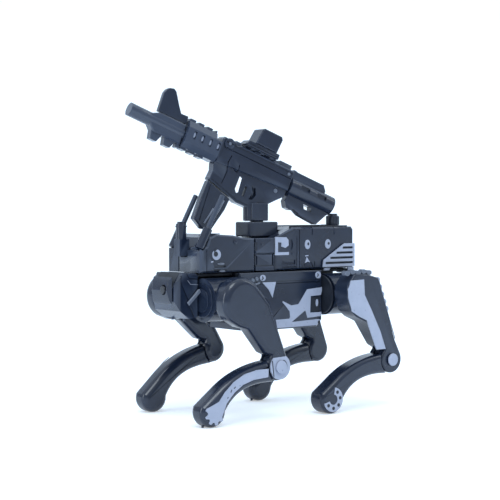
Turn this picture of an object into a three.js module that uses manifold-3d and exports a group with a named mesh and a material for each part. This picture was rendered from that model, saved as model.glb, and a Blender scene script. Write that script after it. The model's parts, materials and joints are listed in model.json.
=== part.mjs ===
// A toy quadruped robot dog, about 10 cm high, with a turret that carries a solid dummy launcher.
// Millimetres. +X is forwards (the head), +Y is the dog's left, +Z is up, and the feet stand on z = 0.
// Everything is laid out from a point on the floor half-way between the hips, and the finished group is then
// moved so that its origin is at the bottom centre of its box.
import * as THREE from "three";
import { mergeVertices } from "three/addons/utils/BufferGeometryUtils.js";
import Module from "manifold-3d";

const wasm = await Module();
wasm.setup();

// ---------------------------------------------------------------- driving dimensions
const GAP = 0.3; // clearance between pieces that touch
const DEG = Math.PI / 180;

const HIP_X = 23.7; // hips in front of and behind the middle
const HIP_Z = 36.3; // height of the hip axes
const ROLL_Y = 7.9; // the lengthways hip axle, from the middle plane
const DRUM_R = 6.6; // hip drum round the lengthways axle
const DRUM_LENGTH = 11.2;
const AXLE_R = 2.0;
const AXLE_REACH = 4.2; // axle length beyond the end of the torso

const LEG_INNER_Y = 14.8; // inner face of thigh and shank
const LEG_WIDTH = 6.6;
const LEG_MIDDLE_Y = LEG_INNER_Y + LEG_WIDTH / 2;
const KNEE = new THREE.Vector2(-12.5, -20.7); // knee from the hip, thigh as drawn
const KNEE_R = 4.3;
const TONGUE_WIDTH = 2.0;
const CHEEK_GAP = TONGUE_WIDTH + 2 * GAP;
const FOOT = new THREE.Vector2(24.8, -10.7); // foot centre from the knee, shank as drawn
const FOOT_R = 4.5;
const FOOT_FLAT = 1.2; // half the width of the foot's tread
const KNEE_PIN_R = 1.3;

const TORSO_HALF_LENGTH = 16.8;
const TORSO_HALF_WIDTH = 9.5;
const TORSO_BOTTOM = 26.2;
const TORSO_TOP = 44.1;
const PANEL_THICKNESS = 1.4;

const PACK_FRONT = 30.5;
const PACK_REAR = -30.8;
const FRONT_SPLIT = 9.8; // where front and middle housings meet
const REAR_SPLIT = 2.0;
const PACK_HALF_WIDTH = 8.5;
const PACK_BOTTOM = 44.5;
const DECK_TOP = 54.6; // middle deck, under the turret
const REAR_TOP = 57.8; // raised rear housing

const KNOB_X = -27.6; // turned knob on the rear deck
const KNOB_Y = 1.8;
const KNOB_STEM_R = 1.2;
const KNOB_HEAD_R = 2.1;
const KNOB_SINK = 0.8; // depth of the counterbore that holds the knob's head

const HEAD_BACK = 29.8;
const HEAD_HALF_WIDTH = 6.7;
const NOSE_TIP = 39.7;

const PEG_X = 31.6; // sensor peg in front of the pack
const ANTENNA_LEAN = 29 * DEG;
const ANTENNA_LENGTH = 16.6;
const ANTENNA_Y = 6.9;
const ANTENNA_FOOT = new THREE.Vector3(29.1, 0, 53.2);

const TURRET_X = 2.5;
const COLLAR_TOP = 59.5;
const COLLAR_HALF_X = 5.85;
const COLLAR_HALF_Y = 4.25;
const POST_TOP = 65.4;
const POST_PIN_Z = 63.4;
const TURRET_YAW = -9 * DEG;
const LAUNCHER_PITCH = 22.4 * DEG;
const MUZZLE_REACH = 43.8; // muzzle ahead of the turret axis
const MUZZLE_HEIGHT = 93.6;

// How each leg is posed: roll of the hip drum (foot inwards is positive), and swing of the thigh (knee back).
const LEG_POSES = {
  front_left: { side: 1, end: 1, roll: 0, swing: 2.6 * DEG },
  front_right: { side: -1, end: 1, roll: 0, swing: 11.3 * DEG },
  rear_left: { side: 1, end: -1, roll: 0, swing: -1.3 * DEG },
  rear_right: { side: -1, end: -1, roll: 0, swing: 0.5 * DEG },
};

// ---------------------------------------------------------------- materials
const black = () => new THREE.MeshStandardMaterial({ color: 0x2a2b2f, roughness: 0.42, metalness: 0 });
const grey = () => new THREE.MeshStandardMaterial({ color: 0xb3b9c8, roughness: 0.6, metalness: 0 });
const lens = () => new THREE.MeshStandardMaterial({ color: 0x14161a, roughness: 0.12, metalness: 0 });

// ---------------------------------------------------------------- solids
function solid(geometry) {
  const bare = geometry.clone();
  bare.deleteAttribute("normal");
  bare.deleteAttribute("uv");
  const merged = mergeVertices(bare, 1e-4);
  return new wasm.Manifold(
    new wasm.Mesh({
      numProp: 3,
      vertProperties: merged.attributes.position.array,
      triVerts: new Uint32Array(merged.index.array),
    }),
  );
}

function mesh(name, made, material) {
  const data = made.getMesh();
  const geometry = new THREE.BufferGeometry();
  geometry.setAttribute("position", new THREE.BufferAttribute(new Float32Array(data.vertProperties), 3));
  geometry.setIndex(new THREE.BufferAttribute(new Uint32Array(data.triVerts), 1));
  geometry.computeVertexNormals();
  const result = new THREE.Mesh(geometry, material);
  result.name = name;
  return result;
}

const join = (first, ...others) => others.reduce((sum, other) => sum.add(other), first);
const cut = (first, ...others) => others.reduce((rest, other) => rest.subtract(other), first);

function box(x0, x1, y0, y1, z0, z1) {
  const geometry = new THREE.BoxGeometry(x1 - x0, y1 - y0, z1 - z0);
  return solid(geometry.translate((x0 + x1) / 2, (y0 + y1) / 2, (z0 + z1) / 2));
}

// A round bar along one axis, from low to high.
function bar(axis, low, high, radius, centre, sides = 20) {
  const geometry = new THREE.CylinderGeometry(radius, radius, high - low, sides);
  const middle = (low + high) / 2;
  if (axis === "x") geometry.rotateZ(Math.PI / 2).translate(middle, centre[0], centre[1]);
  if (axis === "y") geometry.translate(centre[0], middle, centre[1]);
  if (axis === "z") geometry.rotateX(Math.PI / 2).translate(centre[0], centre[1], middle);
  return solid(geometry);
}

const shapeOf = (points) => new THREE.Shape(points.map(([x, y]) => new THREE.Vector2(x, y)));

// A side outline (x, z) given a thickness from y0 to y1, with a bevelled edge.
function sidePlate(outline, y0, y1, bevel = 0, curveSegments = 8, bevelSegments = 1) {
  const shape = outline instanceof THREE.Shape ? outline : shapeOf(outline);
  const geometry = new THREE.ExtrudeGeometry(shape, {
    depth: y1 - y0 - 2 * bevel,
    bevelEnabled: bevel > 0,
    bevelThickness: bevel,
    bevelSize: bevel,
    bevelOffset: -bevel,
    bevelSegments,
    curveSegments,
  });
  return solid(geometry.rotateX(Math.PI / 2).translate(0, y1 - bevel, 0));
}

// A plan outline (x, y) given a height from z0 to z1.
function planPlate(outline, z0, z1, bevel = 0) {
  const shape = outline instanceof THREE.Shape ? outline : shapeOf(outline);
  const geometry = new THREE.ExtrudeGeometry(shape, {
    depth: z1 - z0 - 2 * bevel,
    bevelEnabled: bevel > 0,
    bevelThickness: bevel,
    bevelSize: bevel,
    bevelOffset: -bevel,
    bevelSegments: 1,
    curveSegments: 4,
  });
  return solid(geometry.translate(0, 0, z0 + bevel));
}

function roundedRectangle(halfX, halfY, radius) {
  const shape = new THREE.Shape();
  shape.moveTo(halfX, -halfY + radius);
  shape.absarc(halfX - radius, halfY - radius, radius, 0, Math.PI / 2);
  shape.absarc(-halfX + radius, halfY - radius, radius, Math.PI / 2, Math.PI);
  shape.absarc(-halfX + radius, -halfY + radius, radius, Math.PI, 1.5 * Math.PI);
  shape.absarc(halfX - radius, -halfY + radius, radius, 1.5 * Math.PI, 2 * Math.PI);
  return shape;
}

// ---------------------------------------------------------------- torso
function chassis() {
  const inner = TORSO_HALF_WIDTH - PANEL_THICKNESS - GAP;
  const seatThickness = 0.6;
  const spineHalfWidth = 1.0;
  const core = box(-TORSO_HALF_LENGTH, TORSO_HALF_LENGTH, -inner, inner, 29.0, TORSO_TOP);
  const spine = box(-28.6, HEAD_BACK - GAP, -spineHalfWidth, spineHalfWidth, 31.5, TORSO_TOP);
  const roofPlate = box(-28.6, HEAD_BACK - GAP, -6, 6, 43.3, TORSO_TOP);
  // At each corner a round seat faces the hip drum, and an axle runs from it into the drum.
  const corners = [-1, 1].flatMap((side) =>
    [-1, 1].flatMap((end) => {
      const place = [side * ROLL_Y, HIP_Z];
      const face = end * TORSO_HALF_LENGTH;
      const seatBack = face + end * seatThickness;
      const axleEnd = face + end * AXLE_REACH;
      return [
        bar("x", Math.min(face, seatBack), Math.max(face, seatBack), DRUM_R - 0.3, place, 28),
        bar("x", Math.min(face, axleEnd), Math.max(face, axleEnd), AXLE_R, place, 18),
      ];
    }),
  );
  return mesh("chassis", join(core, spine, roofPlate, ...corners), black());
}

function torsoSideOutline() {
  const end = TORSO_HALF_LENGTH - GAP;
  return [
    [-end, 28.4],
    [-end + 2.2, TORSO_BOTTOM],
    [end - 2.2, TORSO_BOTTOM],
    [end, 28.4],
    [end, TORSO_TOP],
    [-end, TORSO_TOP],
  ];
}

function torsoPanel(name, side) {
  const outer = TORSO_HALF_WIDTH;
  const low = side > 0 ? outer - PANEL_THICKNESS : -outer;
  const plate = sidePlate(torsoSideOutline(), low, low + PANEL_THICKNESS, 0.35);
  // A shallow step along the top edge, where the upper rail starts.
  const stepLow = side > 0 ? outer - 0.4 : -outer - 1;
  const step = box(-TORSO_HALF_LENGTH - 1, TORSO_HALF_LENGTH + 1, stepLow, stepLow + 1.4, 41.0, 41.5);
  return mesh(name, cut(plate, step), black());
}

function bellyCover() {
  const inner = TORSO_HALF_WIDTH - PANEL_THICKNESS - GAP;
  const half = TORSO_HALF_LENGTH - 1.6;
  return mesh("belly_cover", box(-half, half, -inner, inner, TORSO_BOTTOM + 0.2, 29.0 - GAP), black());
}

// ---------------------------------------------------------------- head
function headParts() {
  const profile = [
    [HEAD_BACK, 31.4],
    [33.5, 30.8],
    [36.6, 33.2],
    [38.0, 36.2],
    [38.0, 41.0],
    [35.8, 44.5],
    [31.4, 44.5],
    [HEAD_BACK, 43.6],
  ];
  const plan = [
    [HEAD_BACK, -HEAD_HALF_WIDTH + 0.6],
    [30.4, -HEAD_HALF_WIDTH],
    [36.6, -HEAD_HALF_WIDTH],
    [38.0, -5.2],
    [38.0, 5.2],
    [36.6, HEAD_HALF_WIDTH],
    [30.4, HEAD_HALF_WIDTH],
    [HEAD_BACK, HEAD_HALF_WIDTH - 0.6],
  ];
  const shell = sidePlate(profile, -HEAD_HALF_WIDTH, HEAD_HALF_WIDTH, 0).intersect(planPlate(plan, 30, 46));
  const lensSeat = bar("x", 36.5, 41, 1.5, [1.9, 39.6], 16);
  // The face is a flat wedge that stands forward of the shell between the cheek facets.
  const faceProfile = [
    [38.0 + GAP, 35.2],
    [39.0, 36.4],
    [NOSE_TIP, 39.4],
    [39.1, 42.2],
    [38.0 + GAP, 43.4],
  ];
  const face = sidePlate(faceProfile, -4.9, 4.9, 0).intersect(
    planPlate([[38.2, -4.9], [NOSE_TIP + 0.1, -3.8], [NOSE_TIP + 0.1, 3.8], [38.2, 4.9]], 34, 45),
  );
  const sensor = bar("x", 37.0, 39.9, 1.5 - GAP, [1.9, 39.6], 16);
  return [
    mesh("head_shell", cut(shell, lensSeat), black()),
    mesh("face_plate", cut(face, lensSeat), black()),
    mesh("nose_sensor", sensor, lens()),
  ];
}

// Two slanted struts that run from the cheeks of the head back to the hips.
function cheekStrut(name, side) {
  const low = side > 0 ? HEAD_HALF_WIDTH + GAP : -HEAD_HALF_WIDTH - GAP - 0.8;
  const outline = [[34.0, 34.9], [34.6, 35.8], [30.3, 39.8], [29.7, 38.9]];
  return mesh(name, sidePlate(outline, low, low + 0.8), grey());
}

// ---------------------------------------------------------------- pack on the back
function packFront() {
  const outline = [
    [FRONT_SPLIT, PACK_BOTTOM],
    [PACK_FRONT, PACK_BOTTOM],
    [PACK_FRONT, 51.8],
    [PACK_FRONT - 2.6, 52.4],
    [PACK_FRONT - 3.6, 55.0],
    [PACK_FRONT - 6.0, 56.0],
    [18.0, 55.6],
    [14.0, 54.8],
    [FRONT_SPLIT, DECK_TOP],
  ];
  const housing = sidePlate(outline, -PACK_HALF_WIDTH, PACK_HALF_WIDTH, 0.5);
  const noseGroove = box(PACK_FRONT - 0.5, PACK_FRONT + 1, -2.95, -2.55, 44, 51);
  const sockets = [-1, 1].map((side) => antennaBar(side, 1.45 + GAP, -2, 8));
  return mesh("pack_front", cut(housing, noseGroove, pegSeat(), ...sockets), black());
}

function packMiddle() {
  const housing = box(
    REAR_SPLIT + GAP, FRONT_SPLIT - GAP, -PACK_HALF_WIDTH, PACK_HALF_WIDTH, PACK_BOTTOM, DECK_TOP);
  const slots = [-1, 1].map((side) => {
    const low = side > 0 ? PACK_HALF_WIDTH - 0.5 : -PACK_HALF_WIDTH - 1;
    return box(REAR_SPLIT, FRONT_SPLIT, low, low + 1.5, 49.6, 50.0);
  });
  const bore = bar("z", PACK_BOTTOM + 2, DECK_TOP + 1, 2.4, [TURRET_X + 2.4, 0], 20);
  return mesh("pack_middle", cut(housing, ...slots, bore), black());
}

function packRear() {
  const outline = [
    [PACK_REAR, PACK_BOTTOM],
    [REAR_SPLIT, PACK_BOTTOM],
    [REAR_SPLIT, DECK_TOP],
    [-5.6, REAR_TOP],
    [PACK_REAR + 0.8, REAR_TOP],
    [PACK_REAR, REAR_TOP - 0.9],
  ];
  const housing = sidePlate(outline, -PACK_HALF_WIDTH, PACK_HALF_WIDTH, 0.5);
  const chamfers = [-1, 1].map((side) =>
    solid(
      new THREE.BoxGeometry(60, 3, 3)
        .rotateX(45 * DEG)
        .translate(-22, side * (PACK_HALF_WIDTH + 0.9), REAR_TOP + 0.9),
    ),
  );
  // The knob's head sits in a counterbore, so nothing overhangs the flat rear deck.
  const knobSeat = join(
    bar("z", REAR_TOP - 3, REAR_TOP + 1, KNOB_STEM_R + GAP, [KNOB_X, KNOB_Y], 16),
    bar("z", REAR_TOP - KNOB_SINK, REAR_TOP + 1, KNOB_HEAD_R + GAP, [KNOB_X, KNOB_Y], 20),
  );
  // The ramp is notched round the turret collar.
  const notchHalfY = COLLAR_HALF_Y + GAP;
  const collarNotch = box(
    TURRET_X - COLLAR_HALF_X - GAP, REAR_SPLIT + 1, -notchHalfY, notchHalfY, DECK_TOP, REAR_TOP + 1);
  return mesh("pack_rear", cut(housing, ...chamfers, knobSeat, collarNotch), black());
}

function rearKnob() {
  const stem = bar("z", REAR_TOP - 2.7, REAR_TOP + 1, KNOB_STEM_R, [KNOB_X, KNOB_Y], 16);
  const head = bar("z", REAR_TOP - KNOB_SINK + GAP, REAR_TOP + 3.4, KNOB_HEAD_R, [KNOB_X, KNOB_Y], 20);
  const cap = bar("z", REAR_TOP + 3, REAR_TOP + 4.1, 1.6, [KNOB_X, KNOB_Y], 20);
  return mesh("rear_knob", join(stem, head, cap), black());
}

// A grille of slanted bars on the rear corner of the pack.
function ventGrille(name, side) {
  const low = side > 0 ? PACK_HALF_WIDTH + GAP : -PACK_HALF_WIDTH - GAP - 0.5;
  const outline = [
    [-17.1, 45.0],
    [-17.4, 47.2],
    [-26.2, 52.4],
    [PACK_REAR + 0.2, 52.4],
    [PACK_REAR + 0.2, 45.0],
  ];
  const plate = sidePlate(outline, low, low + 0.5);
  const slots = [0, 1, 2, 3].map((row) => {
    const height = 45.9 + 1.6 * row;
    const start = Math.min(-18.2, -18.2 - (height - 47.2 + 0.9) * 1.65);
    return box(PACK_REAR + 0.9, start, low - 1, low + 1.5, height, height + 0.7);
  });
  return mesh(name, cut(plate, ...slots), grey());
}

function tailBracket() {
  const plate = box(PACK_REAR - 0.3, PACK_REAR + 1.4, -8.2, 8.2, 43.3, PACK_BOTTOM - GAP);
  const neck = box(PACK_REAR - 2.0, PACK_REAR, -1.4, 1.4, 43.3, PACK_BOTTOM - GAP);
  const hitch = bar("y", -1.4, 1.4, 1.2, [PACK_REAR - 2.0, 43.6], 16);
  return mesh("tail_bracket", join(plate, neck, hitch), grey());
}

// ---------------------------------------------------------------- masts
function pegSeat() {
  return box(PACK_FRONT - 1.2, PACK_FRONT + 2, -1.5 - GAP, 1.5 + GAP, 49.4 - GAP, 60);
}

function sensorPeg() {
  const base = box(PACK_FRONT - 1.2 + GAP, PEG_X + 1.6, -1.5, 1.5, 49.4, 54.6);
  const peg = bar("z", 54, 59.2, 1.6, [PEG_X, 0], 16);
  const cap = bar("z", 59, 59.8, 1.2, [PEG_X, 0], 16);
  return mesh("sensor_peg", join(base, peg, cap), black());
}

// A bar along an antenna's slanted axis, measured from its foot.
function antennaBar(side, radius, from, to) {
  const geometry = new THREE.CylinderGeometry(radius, radius, to - from, 12);
  geometry.rotateX(Math.PI / 2).translate(0, 0, (from + to) / 2);
  geometry.rotateY(-ANTENNA_LEAN);
  geometry.translate(ANTENNA_FOOT.x, side * ANTENNA_Y, ANTENNA_FOOT.z);
  return solid(geometry);
}

function antenna(name, side) {
  const base = antennaBar(side, 1.45, -1.6, 5.2);
  return mesh(name, join(base, antennaBar(side, 0.8, 5, ANTENNA_LENGTH)), black());
}

// ---------------------------------------------------------------- turret and dummy launcher
function turretCollar() {
  const plan = roundedRectangle(COLLAR_HALF_X, COLLAR_HALF_Y, 1.5);
  const ring = planPlate(plan, DECK_TOP + GAP, COLLAR_TOP, 0.3);
  const bore = bar("z", DECK_TOP - 1, COLLAR_TOP + 1, 2.4, [0, 0], 20);
  return mesh("turret_collar", cut(ring, bore).translate([TURRET_X, 0, 0]), black());
}

function turretPost() {
  const cheeks = planPlate(roundedRectangle(3.3, 2.7, 0.8), COLLAR_TOP + GAP, POST_TOP);
  const stem = bar("z", DECK_TOP + 1, COLLAR_TOP + 1, 2.4 - GAP, [0, 0], 20);
  const slot = box(-4, 4, -1.5 - GAP, 1.5 + GAP, COLLAR_TOP + 1.2, POST_TOP + 1);
  const pinHole = bar("y", -4, 4, 0.8 + GAP, [0, POST_PIN_Z], 12);
  return mesh("turret_post", cut(join(cheeks, stem), slot, pinHole), black());
}

const postPin = () => mesh("post_pin", bar("y", -2.9, 2.9, 0.8, [0, POST_PIN_Z], 12), black());

// The launcher is drawn from its muzzle: u runs forwards along the barrel, so the pieces lie at negative u,
// and w is up. It is one solid moulding in each piece, with no bore, feed or trigger.
const LAUNCHER = {
  barrelRadius: 2.1,
  handguardFront: -19.2,
  handguardRear: -31.4,
  receiverFront: -31.4 - GAP,
  receiverRear: -59.2,
};

function launcherBarrel() {
  const end = LAUNCHER.handguardFront + GAP;
  const tube = bar("x", end, 0, LAUNCHER.barrelRadius, [0, 0], 16);
  const blockOutline = [[end, -3.4], [-9.0, -3.4], [-7.2, -1.6], [-6.6, 1.6], [-9.4, 2.9], [end, 2.9]];
  const block = sidePlate(blockOutline, -1.9, 1.9, 0.4);
  const lugs = [-8.6, -13.4].map((front) =>
    sidePlate([[front - 4.0, -3], [front, -3], [front - 0.6, -5.7], [front - 2.8, -5.7]], -1.2, 1.2),
  );
  const rearLug = box(end, end + 1.0, -1.2, 1.2, -4.7, -3);
  return mesh("launcher_barrel", join(tube, block, ...lugs, rearLug), black());
}

function launcherFrontSight() {
  const base = 2.9 + GAP;
  const outline = [
    [-8.8, base], [-8.5, 9.1], [-8.9, 10.4], [-9.6, 11.2], [-11.2, 11.7], [-12.2, 11.1],
    [-14.8, 7.4], [-16.2, 5.6], [-18.8, 5.8], [-18.9, base],
  ];
  return mesh("launcher_front_sight", sidePlate(outline, -0.9, 0.9), black());
}

function launcherHandguard() {
  const { handguardFront: front, handguardRear: rear } = LAUNCHER;
  const section = new THREE.Shape();
  const corners = [
    [-3.3, -2.2], [-2.0, -3.9], [2.0, -3.9], [3.3, -2.2], [3.3, 2.6], [2.0, 4.6], [-2.0, 4.6], [-3.3, 2.6],
  ];
  corners.forEach(([y, z], i) => (i ? section.lineTo(y, z) : section.moveTo(y, z)));
  const tube = new THREE.ExtrudeGeometry(section, { depth: front - rear, bevelEnabled: false });
  // Extruded along +Z as (y, z), then turned so that the extrusion runs along the barrel.
  tube.applyMatrix4(new THREE.Matrix4().makeBasis(
    new THREE.Vector3(0, 1, 0), new THREE.Vector3(0, 0, 1), new THREE.Vector3(1, 0, 0)));
  tube.translate(rear, 0, 0);
  const teeth = [0, 1, 2, 3].flatMap((i) => {
    const at = front - 0.4 - i * 3.1;
    return [
      box(at - 1.9, at, -1.4, 1.4, 4.2, 5.5),
      ...(i < 3 ? [box(at - 1.9, at, -1.4, 1.4, -4.5, -3.5)] : []),
    ];
  });
  const rearNotch = box(rear - 1, rear + 2.0, -4, 4, 2.7, 7);
  const slots = [-1, 1].flatMap((side) =>
    [0, 1, 2, 3].map((i) => {
      const at = front - 2.2 - i * 2.9;
      const low = side > 0 ? 2.7 : -4.2;
      return box(at - 0.9, at, low, low + 1.5, -0.4, 2.0);
    }),
  );
  return mesh("launcher_handguard", cut(join(solid(tube), ...teeth), ...slots, rearNotch), black());
}

function launcherReceiver() {
  const { receiverFront: front, receiverRear: rear } = LAUNCHER;
  const upperOutline = [
    [front, -3.6], [rear, -2.0], [rear, 4.6], [-38.4, 4.6], [-37.6, 4.1], [-36.8, 4.1], [-36.0, 5.0],
    [front - 0.4, 4.9], [front, 4.2],
  ];
  const upper = sidePlate(upperOutline, -2.2, 2.2, 0.3);
  const lowerOutline = [
    [front, 1.6], [front, -4.2], [-32.4, -6.2], [-32.1, -9.2], [-43.6, -12.4], [-49.6, -12.3],
    [-53.0, -9.8], [-56.6, -6.2], [-58.8, -4.2], [-59.0, 1.6],
  ];
  const lower = sidePlate(lowerOutline, -1.5, 1.5);
  const knob = bar("y", -2.6, 2.6, 1.7, [-34.2, 3.4], 14);
  const railSteps = [0, 1, 2, 3, 4].map((i) => box(-53.0 + 3.6 * i, -51.0 + 3.6 * i, -1.5, 1.5, 4.2, 5.4));
  railSteps.push(box(-57.9, -53.4, -1.5, 1.5, 4.2, 6.0));
  const slit = box(-45.5, -44.6, -3, 3, -9.6, -6.3);
  return mesh("launcher_receiver", cut(join(upper, lower, knob, ...railSteps), slit, tongueHole()), black());
}

// The pin through the post's cheeks, in the launcher's own (u, w).
function tongueHole() {
  const along = -MUZZLE_REACH;
  const up = POST_PIN_Z - MUZZLE_HEIGHT;
  const u = along * Math.cos(LAUNCHER_PITCH) + up * Math.sin(LAUNCHER_PITCH);
  const w = -along * Math.sin(LAUNCHER_PITCH) + up * Math.cos(LAUNCHER_PITCH);
  return bar("y", -3, 3, 0.8 + GAP, [u, w], 12);
}

function launcherMagazine() {
  const outline = [
    [-32.2, -9.65], [-41.3, -12.2], [-40.9, -16.0], [-38.8, -23.6], [-35.8, -24.3], [-32.0, -22.4],
    [-31.9, -15.6],
  ];
  const body = sidePlate(outline, -1.5, 1.5, 0.3);
  return mesh("launcher_magazine", body, black());
}

function launcherOptic() {
  const seat = 5.4 + GAP;
  const base = sidePlate([[-52.2, seat], [-39.4, seat], [-40.4, 7.4], [-52.2, 7.4]], -2.2, 2.2, 0.2);
  const hoodOutline = [
    [-42.4, 7.2], [-43.2, 12.2], [-43.8, 12.7], [-50.4, 12.7], [-51.0, 11.8], [-50.5, 7.2],
  ];
  const hood = sidePlate(hoodOutline, -3.2, 3.2, 0.3);
  return mesh("launcher_optic", join(base, hood), black());
}

function launcherStock() {
  const front = LAUNCHER.receiverRear - GAP;
  const tube = bar("x", -76.6, front, 3.1, [0, -0.1], 20);
  const cheekOutline = [[front, 2.0], [front, 5.3], [-61.0, 5.0], [-71.3, 5.0], [-72.6, 3.4], [-72.6, 2.0]];
  const cheek = sidePlate(cheekOutline, -1.3, 1.3);
  const strutOutline = [
    [-60.2, -2.0], [-59.8, -5.2], [-61, -7.0], [-62.8, -7.1], [-63.6, -6.2], [-66.6, -7.4], [-73.2, -7.8],
    [-76.4, -2.4],
  ];
  const strut = sidePlate(strutOutline, -1.4, 1.4);
  const window = sidePlate([[-66.4, -3.5], [-69.6, -3.5], [-70.2, -4.9], [-67.2, -4.9]], -3, 3);
  return mesh("launcher_stock", cut(join(tube, cheek, strut), window), black());
}

export const turretGroup = new THREE.Group();

function turret() {
  const group = turretGroup;
  group.position.set(TURRET_X, 0, 0);
  group.rotation.z = TURRET_YAW;
  const launcher = new THREE.Group();
  launcher.position.set(MUZZLE_REACH, 0, MUZZLE_HEIGHT);
  launcher.rotation.y = -LAUNCHER_PITCH;
  launcher.add(
    launcherBarrel(), launcherFrontSight(), launcherHandguard(), launcherReceiver(),
    launcherMagazine(), launcherOptic(), launcherStock(),
  );
  group.add(turretPost(), postPin(), launcher);
  return group;
}

// ---------------------------------------------------------------- legs
// Drawn for a left leg, from the hip, in the plane of the leg.
function thighOutline() {
  const shape = new THREE.Shape();
  const hipR = 7.2;
  const frontTangent = -48 * DEG;
  const rearTangent = 142 * DEG;
  shape.absarc(0, 0, hipR, frontTangent, rearTangent);
  shape.lineTo(-10.1, -1.0);
  shape.lineTo(KNEE.x - 4.2, KNEE.y + 1.0);
  shape.absarc(KNEE.x, KNEE.y, KNEE_R, 167 * DEG, 412 * DEG);
  shape.lineTo(-7.3, -16.0);
  shape.lineTo(-4.9, -12.8);
  shape.lineTo(-1.6, -8.4);
  shape.lineTo(1.8, -7.3);
  return shape;
}

function thigh(name) {
  const outer = LEG_INNER_Y + LEG_WIDTH;
  const body = sidePlate(thighOutline(), LEG_INNER_Y, outer, 1.0, 14, 2);
  const slot = kneeDisc(KNEE_R + 1.3, CHEEK_GAP).translate([KNEE.x, 0, KNEE.y]);
  const mouth = box(-20, 20, LEG_MIDDLE_Y - CHEEK_GAP / 2, LEG_MIDDLE_Y + CHEEK_GAP / 2, -40, KNEE.y);
  const kneeBore = bar("y", LEG_INNER_Y - 1, outer + 1, KNEE_PIN_R + GAP, [KNEE.x, KNEE.y], 14);
  const hipBore = bar("y", LEG_INNER_Y - 1, LEG_INNER_Y + 4, AXLE_R + GAP, [0, 0], 18);
  return mesh(name, cut(body, slot, mouth, kneeBore, hipBore), black());
}

// A disc about the knee axis, centred on the leg's middle plane.
function kneeDisc(radius, width) {
  return bar("y", LEG_MIDDLE_Y - width / 2, LEG_MIDDLE_Y + width / 2, radius, [0, 0], 24);
}

// Drawn from the knee.
function shankOutline() {
  const shape = new THREE.Shape();
  shape.moveTo(0, 2.2);
  shape.bezierCurveTo(8, 2.3, 16.1, 0.6, 23.0, -4.5);
  shape.lineTo(FOOT.x + 3.9, FOOT.y + 2.6);
  shape.absarc(FOOT.x, FOOT.y, FOOT_R, 34 * DEG, -178 * DEG, true);
  shape.bezierCurveTo(17.2, -6.6, 12.4, -3.9, 3.0, -4.3);
  shape.lineTo(0, -4.3);
  return shape;
}

function shank(name) {
  const outer = LEG_INNER_Y + LEG_WIDTH;
  const arm = sidePlate(shankOutline(), LEG_INNER_Y, outer, 2.1, 9, 2);
  const kneeClearance = [-1, 1].map((side) => {
    const inside = LEG_MIDDLE_Y + (side * TONGUE_WIDTH) / 2;
    const low = side > 0 ? inside : inside - 4;
    return bar("y", low, low + 4, KNEE_R + GAP + 0.1, [0, 0], 24);
  });
  const tongue = kneeDisc(KNEE_R - 0.3, TONGUE_WIDTH);
  const bore = bar("y", LEG_INNER_Y - 1, outer + 1, KNEE_PIN_R + GAP, [0, 0], 14);
  return mesh(name, cut(join(cut(arm, ...kneeClearance), tongue), bore), black());
}

function kneePin(name) {
  const outer = LEG_INNER_Y + LEG_WIDTH;
  const stem = bar("y", LEG_INNER_Y + 0.2, outer + 0.4, KNEE_PIN_R, [KNEE.x, KNEE.y], 14);
  const head = bar("y", outer + GAP, outer + 0.8, 2.0, [KNEE.x, KNEE.y], 18);
  return mesh(name, join(stem, head), grey());
}

// Drawn from the lengthways hip axle. The axle's bore is blind, and opens towards the torso.
function hipBlock(name, end) {
  const half = DRUM_LENGTH / 2;
  const drum = bar("x", -half, half, DRUM_R, [0, 0], 28);
  const seat = bar("y", 0, LEG_INNER_Y - GAP - ROLL_Y, half, [0, 0], 28);
  const boreMouth = -end * (half + 1);
  const boreFloor = end * (TORSO_HALF_LENGTH + AXLE_REACH + GAP - HIP_X);
  const boreEnds = [Math.min(boreMouth, boreFloor), Math.max(boreMouth, boreFloor)];
  const axleBore = bar("x", ...boreEnds, AXLE_R + GAP, [0, 0], 18);
  const pinBore = bar("y", 3.2, 12, AXLE_R + GAP, [0, 0], 18);
  return mesh(name, cut(join(drum, seat), axleBore, pinBore), black());
}

const hipPin = (name) => mesh(name, bar("y", 3.2 + GAP, 10.4, AXLE_R, [0, 0], 18), black());

// The shank's turn about the knee that puts the foot on the floor, for a given thigh swing and hip roll.
function standingBend(swing, roll) {
  const kneeDepth = KNEE.length() * Math.cos(Math.atan2(-KNEE.x, -KNEE.y) + swing);
  const legPlaneDrop = (LEG_MIDDLE_Y - ROLL_Y) * Math.sin(roll);
  const footHeight = FOOT_R * Math.cos(roll) + FOOT_FLAT * Math.sin(roll);
  const needed = (HIP_Z - legPlaneDrop - footHeight) / Math.cos(roll) - kneeDepth;
  const restAngle = Math.atan2(-FOOT.y, FOOT.x);
  return Math.asin(needed / FOOT.length()) - restAngle;
}

export const legJoints = {}; // the groups that carry each joint, by leg name

function leg(legName, pose) {
  const sideGroup = new THREE.Group();
  sideGroup.scale.y = pose.side;
  const roll = new THREE.Group();
  roll.position.set(pose.end * HIP_X, ROLL_Y, HIP_Z);
  roll.rotation.x = -pose.roll;
  const thighGroup = new THREE.Group();
  thighGroup.position.y = -ROLL_Y;
  thighGroup.rotation.y = pose.swing;
  const shankGroup = new THREE.Group();
  shankGroup.position.set(KNEE.x, 0, KNEE.y);
  shankGroup.rotation.y = standingBend(pose.swing, pose.roll) - pose.swing;
  shankGroup.add(shank("shank_" + legName));
  thighGroup.add(thigh("thigh_" + legName), kneePin("knee_pin_" + legName), shankGroup);
  roll.add(hipBlock("hip_block_" + legName, pose.end), hipPin("hip_pin_" + legName), thighGroup);
  sideGroup.add(roll);
  legJoints[legName] = { roll, thighGroup, shankGroup };
  return sideGroup;
}

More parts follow.
